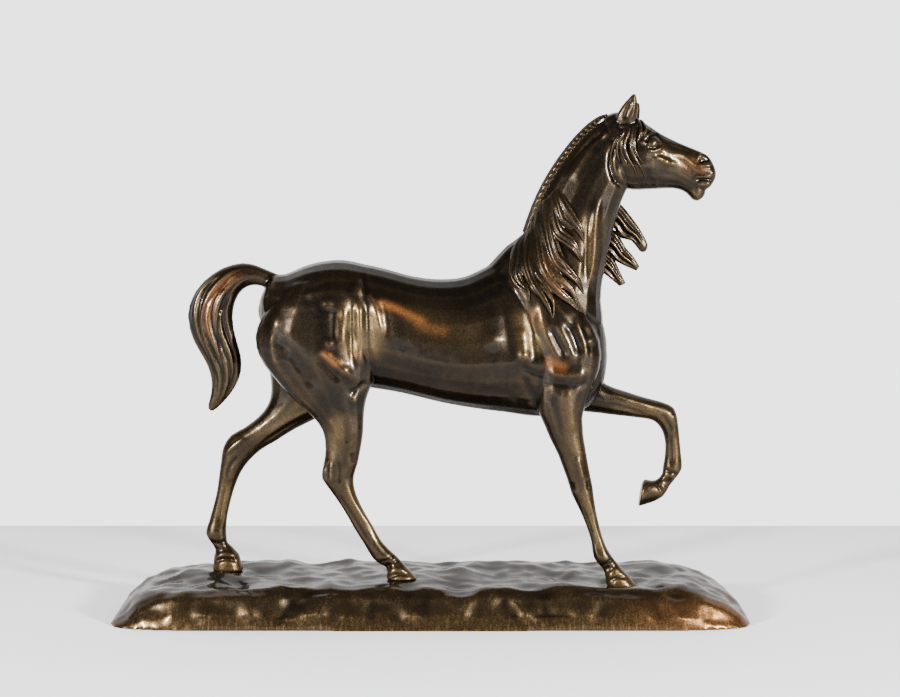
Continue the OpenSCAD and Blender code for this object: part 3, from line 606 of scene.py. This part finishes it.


# ---------------------------------------------------------------- finishes

# Bared bronze, and painted highlight on ridges and edges that catch the lamps, on the side view: strength,
# width, points (x, z).
GOLD_AND_HIGHLIGHT_LINES = [
    (0.4, 2.4, [(-47, 80), (-43, 70), (-37, 60), (-24, 40)]),
    (0.4, 2.2, [(83, 76), (88, 60), (93, 44), (97, 34)]), (0.35, 2.6, [(-115, 74), (-117, 62), (-120, 48)]),
    (0.3, 2.2, [(137, 100), (138, 90), (137, 82)]), (0.7, 5, [(-44, 180), (-43, 160), (-42, 142)]),
    (0.45, 6, [(-30, 178), (-30, 160), (-36, 144)]), (0.3, 5, [(-47, 118), (-52, 104), (-56, 88)]),
    (0.4, 7, [(52, 176), (54, 160), (58, 144)]), (0.26, 5, [(74, 130), (77, 112), (83, 88)]),
    (0.16, 9, [(-20, 172), (10, 162), (36, 158)]), (0.22, 5, [(100, 118), (122, 112), (136, 104)]),
    (0.22, 5, [(-62, 128), (-84, 106), (-104, 96)]), (0.18, 7, [(118, 262), (134, 254), (150, 248)]),
    (0.25, 8, [(88, 228), (88, 205), (86, 186)]),
]
COPPER_LINES = [
    (1.0, 2.0, [(-32, 177), (-20, 173.6), (-10, 169), (0, 165)]),
    (0.3, 3, [(-10, 166), (2, 162), (12, 160)]), (0.55, 2, [(-60, 151), (-55, 146), (-49, 141)]),
    (0.12, 2.6, [(57, 175), (58.6, 166), (60, 159)]), (0.42, 3.2, [(61, 145), (68, 142.4), (76, 139)]),
    (0.3, 2.2, [(-100, 191), (-110, 188), (-117, 183), (-122, 175), (-124, 166), (-123, 157), (-121, 151)]),
    (0.1, 5, [(64, 205), (66, 190), (76, 178)]), (0.15, 3.6, [(138, 254), (146, 250), (152, 246)]),
]


def add_node(tree, kind, settings=(), **inputs):
    """Adds a shader node. An input is a value or another node's output."""
    made = tree.nodes.new("ShaderNode" + kind)
    for key, value in dict(settings).items():
        setattr(made, key, value)
    for key, value in inputs.items():
        socket = made.inputs[int(key[1:]) if key[0] == "_" else key.replace("__", " ")]
        if isinstance(value, bpy.types.NodeSocket):
            tree.links.new(value, socket)
        else:
            socket.default_value = value
    return made


def speckle(tree, where, scale, detail, low, high, stretch=(1, 1, 1)):
    """Noise brought to 0..1 between two of its levels."""
    placed = add_node(tree, "Mapping", _0=where, Scale=stretch).outputs[0]
    cloud = add_node(tree, "TexNoise", Vector=placed, Scale=scale, Detail=detail, Roughness=0.6).outputs[0]
    return add_node(tree, "MapRange", _0=cloud, _1=low, _2=high).outputs[0]


def worked(tree, kind, a, b):
    """Two values put together and kept between 0 and 1."""
    return add_node(tree, "Math", {"operation": kind, "use_clamp": True}, _0=a, _1=b).outputs[0]


def blended(tree, share, a, b):
    """One colour turning into another by a share."""
    made = add_node(tree, "Mix", {"data_type": "RGBA", "blend_type": "MIX"}, _0=share)
    for socket, value in ((6, a), (7, b)):
        if isinstance(value, bpy.types.NodeSocket):
            tree.links.new(value, made.inputs[socket])
        else:
            made.inputs[socket].default_value = (*value, 1)
    return made.outputs[2]


def patinated_bronze(name, look, brown=0.5, shine=0.13, ground=False):
    """Dark patina over bronze: bared where it is handled and lightened as painted highlight along the gold
    lines, coppery in places, lacquered all over.
    """
    mat = bpy.data.materials.new(name)
    mat.use_nodes = True
    tree = mat.node_tree
    shader = tree.nodes["Principled BSDF"]
    where = add_node(tree, "TexCoord").outputs["Object"]
    wear, copper, hollow = (add_node(tree, "Attribute", {"attribute_name": n}).outputs["Fac"]
                            for n in ("wear", "copper", "hollow"))
    clouds = speckle(tree, where, 38, 4, 0.32, 0.7)
    grains = speckle(tree, where, 1150, 4, 0.34, 0.68)
    fine = speckle(tree, where, 1700, 2, 0.5, 0.72)
    colour = blended(tree, worked(tree, "MULTIPLY", clouds, brown), look.patina, look.brown)
    colour = blended(tree, worked(tree, "MULTIPLY", fine, 0.35), colour, look.brown)
    # Bared colour by wear, and by painted highlight where the gold lines run.
    rubbed_and_highlight = worked(tree, "MULTIPLY", wear, worked(tree, "ADD", worked(tree, "MULTIPLY", grains, 0.5), 0.5))
    if ground:
        streaks = speckle(tree, where, 60, 3, 0.5, 0.68, (12, 12, 0.9))
        streaks = worked(tree, "ADD", streaks, worked(tree, "MULTIPLY", grains, 0.25))
        rubbed_and_highlight = worked(tree, "MULTIPLY", wear, streaks)
        colour = blended(tree, 0.07, colour, look.bared)
    colour = blended(tree, rubbed_and_highlight, colour, look.bared)
    warm = worked(tree, "MULTIPLY", copper, worked(tree, "ADD", worked(tree, "MULTIPLY", grains, 0.3), 0.6))
    colour = blended(tree, warm, colour, look.copper)
    colour = blended(tree, worked(tree, "MULTIPLY", hollow, 0.8), colour, look.recess)
    tree.links.new(colour, shader.inputs["Base Color"])
    smoothest = 0.23 if ground else 0.25
    rough = add_node(tree, "MapRange", _0=grains, _1=0.0, _2=1.0, _3=smoothest, _4=0.37).outputs[0]
    tree.links.new(rough, shader.inputs["Roughness"])
    shader.inputs["Metallic"].default_value = 0.8
    shader.inputs["Specular Tint"].default_value = (0.3, 0.28, 0.25, 1) if ground else (0.42, 0.4, 0.37, 1)
    shader.inputs["Coat Weight"].default_value = shine
    shader.inputs["Coat Roughness"].default_value = 0.08
    height = add_node(tree, "Math", {"operation": "ADD"}, _0=grains, _1=clouds).outputs[0]
    bump = add_node(tree, "Bump", Strength=0.1, Distance=0.0002, Height=height)
    tree.links.new(bump.outputs[0], shader.inputs["Normal"])
    return mat


def turned_steel(name):
    """Bright steel with faint turning marks and a little grease."""
    mat = bpy.data.materials.new(name)
    mat.use_nodes = True
    tree = mat.node_tree
    shader = tree.nodes["Principled BSDF"]
    where = add_node(tree, "TexCoord").outputs["Object"]
    rings = speckle(tree, where, 900, 2, 0.35, 0.65, (0.2, 0.2, 4))
    stain = speckle(tree, where, 300, 4, 0.5, 0.7)
    tree.links.new(blended(tree, stain, (0.5, 0.5, 0.52), (0.3, 0.26, 0.22)), shader.inputs["Base Color"])
    rough = add_node(tree, "MapRange", _0=rings, _1=0.0, _2=1.0, _3=0.25, _4=0.42).outputs[0]
    tree.links.new(rough, shader.inputs["Roughness"])
    shader.inputs["Metallic"].default_value = 1.0
    bump = add_node(tree, "Bump", Strength=0.1, Distance=0.0001, Height=rings)
    tree.links.new(bump.outputs[0], shader.inputs["Normal"])
    return mat


class HorseLook(bpy.types.PropertyGroup):
    """Colours of the finish"""
    patina: bpy.props.FloatVectorProperty(
        name="Patina", description="Darkest colour of the patina", subtype="COLOR", size=3, min=0, max=1,
        default=(0.004, 0.003, 0.0023))
    brown: bpy.props.FloatVectorProperty(
        name="Brown", description="Lighter brown of the patina", subtype="COLOR", size=3, min=0, max=1,
        default=(0.0185, 0.0118, 0.0055))
    # Also the colour of the painted highlight along the gold lines.
    bared: bpy.props.FloatVectorProperty(
        name="Bared bronze", description="Metal bared by handling", subtype="COLOR", size=3, min=0, max=1,
        default=(0.155, 0.098, 0.039))
    copper: bpy.props.FloatVectorProperty(
        name="Copper", description="Reddish burnish", subtype="COLOR", size=3, min=0, max=1,
        default=(0.27, 0.1, 0.028))
    recess: bpy.props.FloatVectorProperty(
        name="Recess", description="Patina left in the grooves", subtype="COLOR", size=3, min=0, max=1,
        default=(0.003, 0.0022, 0.0018))


class HorseSizes(bpy.types.PropertyGroup):
    """Fineness of the modelling"""
    body_cell: bpy.props.FloatProperty(
        name="Body detail", description="Cell of the body's skin",
        unit="LENGTH", min=0.0005, default=0.00085)
    head_cell: bpy.props.FloatProperty(
        name="Head detail", description="Cell of the skin of the neck and the head",
        unit="LENGTH", min=0.0003, default=0.0005)
    hair_cell: bpy.props.FloatProperty(
        name="Hair detail", description="Cell of the skin of the manes",
        unit="LENGTH", min=0.0003, default=0.00042)
    ground_cell: bpy.props.FloatProperty(
        name="Ground detail", description="Cell of the skin of the terrace",
        unit="LENGTH", min=0.0008, default=0.0013)
    modelling: bpy.props.FloatProperty(
        name="Modelling", description="Strength of the muscles, veins and folds",
        subtype="FACTOR", min=0, max=2, default=1.0)
    ground_lumps: bpy.props.FloatProperty(
        name="Ground lumps", description="Height of the lumps in the ground",
        unit="LENGTH", min=0, default=0.0018)


# ---------------------------------------------------------------- pieces

skins = {}


def body_skin():
    """The whole figure as one modelled skin, made once."""
    if "body" not in skins:
        sizes = bpy.context.scene.horse_sizes
        wax = Wax(castings_of(FIGURE), sizes.body_cell / MM)
        wax.relax(12)
        rise = wax.along_paths(BODY_MARKS + LEG_MARKS) + wax.at_spots(BUMPS)
        tail = wax.along_paths(flow_marks(TAIL_FLOW, 19, 0.8, 0.75, 0.07))
        wax.push((rise * sizes.modelling + tail) * wax.facing() + wax.at_spots(OUTLINE_SPOTS))
        wax.relax(1)
        wax.knead(0.09, 9)
        skins["body"] = wax
    return skins["body"]


def head_skin():
    """The forehand as one finer skin, from which the neck and the head are cut."""
    if "head" not in skins:
        sizes = bpy.context.scene.horse_sizes
        wax = Wax(castings_of(["torso", "neck", "head"], behind=FOREHAND_X), sizes.head_cell / MM)
        wax.relax(24)
        rise = wax.along_paths(BODY_MARKS) + wax.at_spots(BUMPS)
        rise += 0.75 * (wax.along_paths(HEAD_MARKS) + wax.at_spots(HEAD_BUMPS))
        wax.push(rise * sizes.modelling * wax.facing() + wax.at_spots(CHIN_SPOTS))
        wax.relax(2)
        wax.knead(0.07, 9)
        skins["head"] = wax
    return skins["head"]


def low_parts(wax):
    """Worn more down the legs, and most on the hooves."""
    z = wax.points[:, 2]
    return 0.05 * np.clip((122 - z) / 40, 0, 1) + 0.3 * np.clip((31 - z) / 4, 0, 1)


class BRONZEHORSE_OT_body(bpy.types.Operator):
    """Model the torso, the legs and the tail, and cut them apart at their joints"""
    bl_idname = "bronze_horse.body"
    bl_label = "Body, legs and tail"

    def execute(self, context):
        wax = body_skin()
        sideways = wax.facing()
        # Gold lines, partly bared bronze and partly painted highlight, and the wear low on the legs show on
        # faces turned to the sides and fade toward the outlines.
        wear = wax.along_paths(GOLD_AND_HIGHLIGHT_LINES) * sideways + low_parts(wax) * (0.3 + 0.7 * sideways)
        finish_layers(wax, wear, wax.along_paths(COPPER_LINES) * sideways, 4, 22)
        bronze = patinated_bronze("patinated_bronze", context.scene.horse_look)
        seeds = {k: v for k, v in SEEDS.items() if k not in ("neck", "head")}
        for name, mesh in cut_castings(wax.mesh, JOINTS.values(), seeds).items():
            add_piece("cast_" + name, mesh, bronze, replaces=[name])
        return {"FINISHED"}


class BRONZEHORSE_OT_head(bpy.types.Operator):
    """Model the neck and the head"""
    bl_idname = "bronze_horse.head"
    bl_label = "Neck and head"

    def execute(self, context):
        wax = head_skin()
        sideways = wax.facing()
        # Gold lines, partly bared bronze and partly painted highlight, show on faces turned to the sides and
        # fade toward the outlines.
        wear = wax.along_paths(GOLD_AND_HIGHLIGHT_LINES) * sideways
        finish_layers(wax, wear, wax.along_paths(COPPER_LINES) * sideways, 8, 44)
        bronze = patinated_bronze("neck_bronze", context.scene.horse_look, 0.45)
        seeds = {k: SEEDS[k] for k in ("neck", "head")}
        for name, mesh in cut_castings(wax.mesh, [JOINTS["neck"], JOINTS["head"]], seeds).items():
            add_piece("cast_" + name, mesh, bronze, replaces=[name])
        return {"FINISHED"}


def add_hair(name, wax, bronze, node):
    """Finishes a skin of hair and adds it in place of its CAD node."""
    finish_layers(wax, np.full(wax.count, 0.03), wax.along_paths(COPPER_LINES), 6, 20)
    for face in wax.mesh.polygons:
        face.use_smooth = True
    add_piece(name, wax.mesh, bronze, replaces=[node])


class BRONZEHORSE_OT_manes(bpy.types.Operator):
    """Lay the locks of both manes and the forelock, and model the short mane on the crest"""
    bl_idname = "bronze_horse.manes"
    bl_label = "Manes and forelock"

    def execute(self, context):
        cell = context.scene.horse_sizes.hair_cell / MM
        bronze = patinated_bronze("hair_bronze", context.scene.horse_look, 0.75)
        body, head = body_skin().tree(), head_skin().tree()
        add_hair("locks_near_mane", hair_skin(body, NEAR, MANE_LOCKS, cell), bronze, "near_mane")
        far = hair_skin(body, FAR, FAR_LOCKS, cell, base=["far_mane"])
        clear = far.points[:, 0] > THROAT_X
        marks = [mark for lock in BLOWN_EDGES for mark in flow_marks(lock, 5, 0.8, 0.9, 0.0)]
        far.push(far.along_paths(marks) * far.facing() * clear)
        add_hair("locks_far_mane", far, bronze, "far_mane")
        for name, side in (("forelock_near", NEAR), ("forelock_far", FAR)):
            add_hair(name, hair_skin(head, side, CHEEK_LOCKS, FORELOCK_CELL, fill=False), bronze, "forelock")
        crest = Wax(castings_of(["crest_mane"]), CREST_CELL)
        crest.relax(12)
        crest.push(crest.along_paths(crest_marks()) + crest.at_spots([POLL_SPOT]))
        add_hair("roached_crest", crest, bronze, "crest_mane")
        return {"FINISHED"}


class BRONZEHORSE_OT_terrace(bpy.types.Operator):
    """Model the ground of the terrace"""
    bl_idname = "bronze_horse.terrace"
    bl_label = "Terrace"

    def execute(self, context):
        sizes = context.scene.horse_sizes
        wax = Wax(castings_of(["terrace"]), sizes.ground_cell / MM)
        wax.relax(10)
        low, high = (np.array(corner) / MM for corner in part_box("terrace"))
        n, p = wax.normals(), wax.points
        middle, half = (low + high) / 2, (high - low) / 2
        ends, sides = (np.abs(p[:, i] - middle[i]) - half[i] for i in (0, 1))
        edge = np.maximum(ends + 24, sides + 14)
        outward = n[:, 0] * np.sign(p[:, 0]) * (half[0] - np.abs(p[:, 0]) < 26) + n[:, 1] * np.sign(p[:, 1])
        side = (edge > 0) & (outward > 0.1) & (n[:, 2] > -0.2)
        top = n[:, 2] > 0.35
        outer = np.where(top | side, 1.0, 0.0)[:, None]
        for _ in range(4):
            outer = wax.average(outer)
        outer = outer[:, 0] * np.clip((p[:, 2] - 1.2) / 4, 0, 1)
        soles = np.ones(wax.count)
        for x, y in SOLES:
            soles *= np.clip((np.hypot((p[:, 0] - x) / 1.3, p[:, 1] - y) - 7) / 7, 0, 1)
        lumps = wax.grain(19, 2)
        ridges = 1 - np.abs(wax.grain(34, 2)) * 2.4
        rise = sizes.ground_lumps / MM * (0.9 * lumps + 0.6 * np.clip(ridges, -1, 1)) - 0.5
        wax.push(rise * outer * (0.25 + 0.75 * soles) * np.where(side & ~top, 0.45, 1.0))
        wax.relax(2)
        z = wax.points[:, 2]
        flank = np.clip((12 - z) / 7, 0, 1) * np.clip(1 - n[:, 2], 0, 1)
        right = np.clip((wax.points[:, 0] - 90) / 60, 0, 1) * np.clip((20 - z) / 8, 0, 1)
        finish_layers(wax, 0.38 * flank + 0.12 * right, 0.25 * right + 0.05 * flank, 6, 20)
        for face in wax.mesh.polygons:
            face.use_smooth = True
        bronze = patinated_bronze("ground_bronze", context.scene.horse_look, 0.9, 0.2, ground=True)
        add_piece("ground", wax.mesh, bronze, replaces=["terrace"])
        return {"FINISHED"}


class BRONZEHORSE_OT_fixings(bpy.types.Operator):
    """Give the studs, washers, nuts and dowels their finish"""
    bl_idname = "bronze_horse.fixings"
    bl_label = "Fixings"

    def execute(self, context):
        steel = turned_steel("turned_steel")
        for name in FIXINGS:
            for spot in NODES[name].material_slots:
                spot.material = steel
        return {"FINISHED"}


# The stage, in metres, degrees and watts. The room is bright beyond the table and below it.
TABLE_HALF_WIDTH, TABLE_HALF_DEPTH, TABLE_BACK = 9, 4.66, 0.32
CAMERA_PLACE = (0.0107, -1.525, 0.286)
CAMERA_DIP = 5.134
LENS = 110.4
SOFTBOXES = (("softbox_left", (-1.0, -1.2, 0.5), 76), ("softbox_right", (1.04, -1.16, 0.5), 86))
SOFTBOX_SIZE = 0.15
LAMPS_AIM = (0, 0, 0.14)
ROOM_DIM, ROOM_BRIGHT = 0.2, 3.0


class BRONZEHORSE_OT_stage(bpy.types.Operator):
    """Set the table, the room, the lights and the camera"""
    bl_idname = "bronze_horse.stage"
    bl_label = "Stage"

    def execute(self, context):
        scene = context.scene
        bm = bmesh.new()
        bmesh.ops.create_grid(bm, x_segments=1, y_segments=1, size=1)
        bmesh.ops.scale(bm, vec=(TABLE_HALF_WIDTH, TABLE_HALF_DEPTH, 1), verts=bm.verts)
        bmesh.ops.translate(bm, vec=(0, TABLE_BACK - TABLE_HALF_DEPTH, 0), verts=bm.verts)
        mesh = bpy.data.meshes.new("table")
        bm.to_mesh(mesh)
        bm.free()
        cloth = bpy.data.materials.new("pale_cloth")
        cloth.use_nodes = True
        shader = cloth.node_tree.nodes["Principled BSDF"]
        shader.inputs["Base Color"].default_value = (0.76, 0.76, 0.77, 1)
        shader.inputs["Roughness"].default_value = 0.9
        mesh.materials.append(cloth)
        table = bpy.data.objects.new("table", mesh)
        scene.collection.objects.link(table)
        cam = bpy.data.cameras.new("camera")
        cam.lens = LENS
        cam.sensor_width = 36
        cam.clip_start = 0.01
        camera = bpy.data.objects.new("camera", cam)
        camera.location = CAMERA_PLACE
        camera.rotation_euler = (math.radians(90 - CAMERA_DIP), 0, 0)
        scene.collection.objects.link(camera)
        scene.camera = camera
        for name, place, power in SOFTBOXES:
            light = bpy.data.lights.new(name, "AREA")
            light.size = SOFTBOX_SIZE
            light.energy = power
            lamp = bpy.data.objects.new(name, light)
            lamp.location = place
            lamp.rotation_euler = (Vector(LAMPS_AIM) - Vector(place)).to_track_quat("-Z", "Y").to_euler()
            scene.collection.objects.link(lamp)
        world = bpy.data.worlds.new("room")
        scene.world = world
        world.use_nodes = True
        room = world.node_tree
        room.nodes["Background"].inputs["Color"].default_value = (1, 1, 1, 1)
        heading = add_node(room, "SeparateXYZ", _0=add_node(room, "TexCoord").outputs["Generated"])
        below = add_node(room, "Math", {"operation": "MULTIPLY"}, _0=heading.outputs["Z"], _1=-3.0).outputs[0]
        ahead = add_node(room, "Math", {"operation": "MAXIMUM"}, _0=heading.outputs["Y"], _1=below).outputs[0]
        bright = add_node(room, "MapRange", _0=ahead, _1=0.2, _2=0.5, _3=ROOM_DIM, _4=ROOM_BRIGHT)
        room.links.new(bright.outputs[0], room.nodes["Background"].inputs["Strength"])
        return {"FINISHED"}


class BRONZEHORSE_PT_panel(bpy.types.Panel):
    """Sizes, colours and pieces of the statue"""
    bl_idname = "BRONZEHORSE_PT_panel"
    bl_label = "Bronze Horse"
    bl_space_type = "VIEW_3D"
    bl_region_type = "UI"
    bl_category = "Bronze Horse"

    def draw(self, context):
        for group in (context.scene.horse_sizes, context.scene.horse_look):
            box = self.layout.box()
            for name in group.bl_rna.properties.keys():
                if name not in ("rna_type", "name"):
                    box.prop(group, name)
        for piece in OPERATORS:
            self.layout.operator(piece.bl_idname)


OPERATORS = (BRONZEHORSE_OT_body, BRONZEHORSE_OT_head, BRONZEHORSE_OT_manes, BRONZEHORSE_OT_terrace,
             BRONZEHORSE_OT_fixings, BRONZEHORSE_OT_stage)
CLASSES = (HorseSizes, HorseLook) + OPERATORS + (BRONZEHORSE_PT_panel,)


def register():
    """Adds the panel, the operators and the properties."""
    for kind in CLASSES:
        bpy.utils.register_class(kind)
    bpy.types.Scene.horse_sizes = bpy.props.PointerProperty(type=HorseSizes)
    bpy.types.Scene.horse_look = bpy.props.PointerProperty(type=HorseLook)


def unregister():
    """Takes them away again."""
    del bpy.types.Scene.horse_look
    del bpy.types.Scene.horse_sizes
    for kind in reversed(CLASSES):
        bpy.utils.unregister_class(kind)


def main():
    """Builds the statue and its stage."""
    register()
    bpy.ops.bronze_horse.body()
    bpy.ops.bronze_horse.head()
    bpy.ops.bronze_horse.manes()
    bpy.ops.bronze_horse.terrace()
    bpy.ops.bronze_horse.fixings()
    bpy.ops.bronze_horse.stage()


if __name__ == "__main__":
    main()
